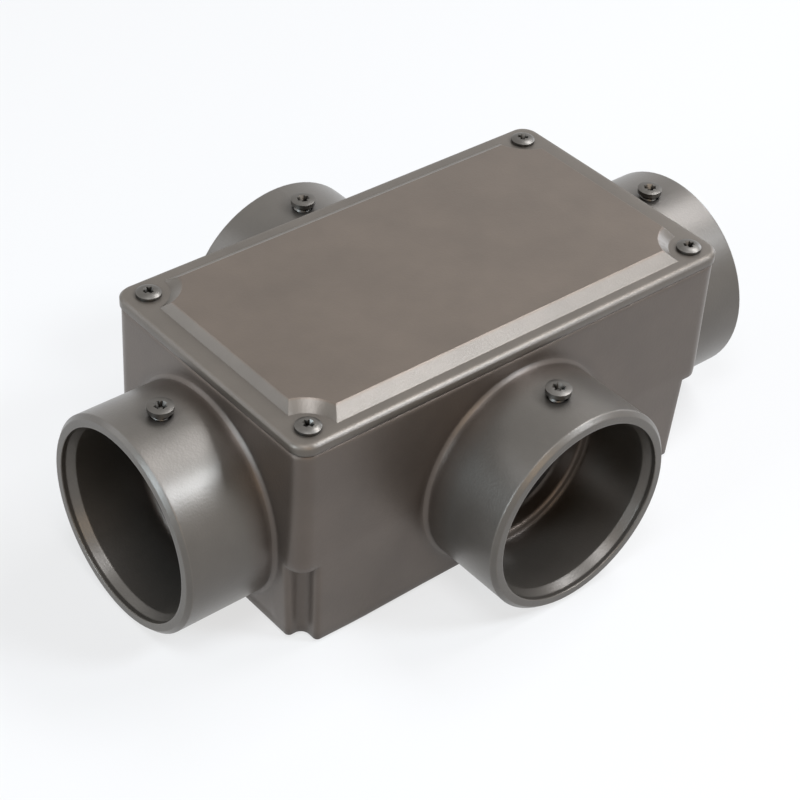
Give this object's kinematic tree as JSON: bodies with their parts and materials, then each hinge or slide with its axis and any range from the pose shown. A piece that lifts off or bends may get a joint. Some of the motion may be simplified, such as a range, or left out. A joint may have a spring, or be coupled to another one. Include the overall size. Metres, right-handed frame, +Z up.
{
  "type": "conduit body",
  "caption": "Cast aluminium crossing conduit body: a rectangular wiring box with set-screw hubs on every side and a gasketed, screwed-down raised-panel cover.",
  "frame": {"origin": "on the ground under the middle of the body", "axes": "+Z up out of the cover, X along the long side of the box, Y along the short side, front is -Y"},
  "size_m": [0.2142, 0.1436, 0.0781],
  "materials": {
    "cast_aluminium": "satin",
    "cover_aluminium": "satin",
    "screw_steel": "zinc plated",
    "gasket_rubber": "matte"
  },
  "bodies": {
    "housing": {"housing": "cast_aluminium", "gasket": "gasket_rubber"},
    "cover": {"cover": "cover_aluminium"},
    "cover_screw_front_left": {"cover_screw_front_left": "screw_steel"},
    "cover_screw_front_right": {"cover_screw_front_right": "screw_steel"},
    "cover_screw_back_left": {"cover_screw_back_left": "screw_steel"},
    "cover_screw_back_right": {"cover_screw_back_right": "screw_steel"},
    "set_screw_left": {"set_screw_left": "screw_steel"},
    "set_screw_right": {"set_screw_right": "screw_steel"},
    "set_screw_front": {"set_screw_front": "screw_steel"},
    "set_screw_back": {"set_screw_back": "screw_steel"}
  },
  "joints": [
    {"name": "cover_lift", "type": "slide", "parent": "housing", "child": "cover", "axis": [0, 0, 1], "range_m": [0, 0.03]},
    {"name": "cover_screw_front_left_travel", "type": "slide", "parent": "cover", "child": "cover_screw_front_left", "axis": [0, 0, 1], "range_m": [0, 0.0112]},
    {"name": "cover_screw_front_right_travel", "type": "slide", "parent": "cover", "child": "cover_screw_front_right", "axis": [0, 0, 1], "range_m": [0, 0.0112]},
    {"name": "cover_screw_back_left_travel", "type": "slide", "parent": "cover", "child": "cover_screw_back_left", "axis": [0, 0, 1], "range_m": [0, 0.0112]},
    {"name": "cover_screw_back_right_travel", "type": "slide", "parent": "cover", "child": "cover_screw_back_right", "axis": [0, 0, 1], "range_m": [0, 0.0112]},
    {"name": "set_screw_left_travel", "type": "slide", "parent": "housing", "child": "set_screw_left", "axis": [0, 0, 1], "range_m": [-0.00145, 0.0035]},
    {"name": "set_screw_right_travel", "type": "slide", "parent": "housing", "child": "set_screw_right", "axis": [0, 0, 1], "range_m": [-0.00145, 0.0035]},
    {"name": "set_screw_front_travel", "type": "slide", "parent": "housing", "child": "set_screw_front", "axis": [0, 0, 1], "range_m": [-0.00145, 0.0035]},
    {"name": "set_screw_back_travel", "type": "slide", "parent": "housing", "child": "set_screw_back", "axis": [0, 0, 1], "range_m": [-0.00145, 0.0035]}
  ]
}
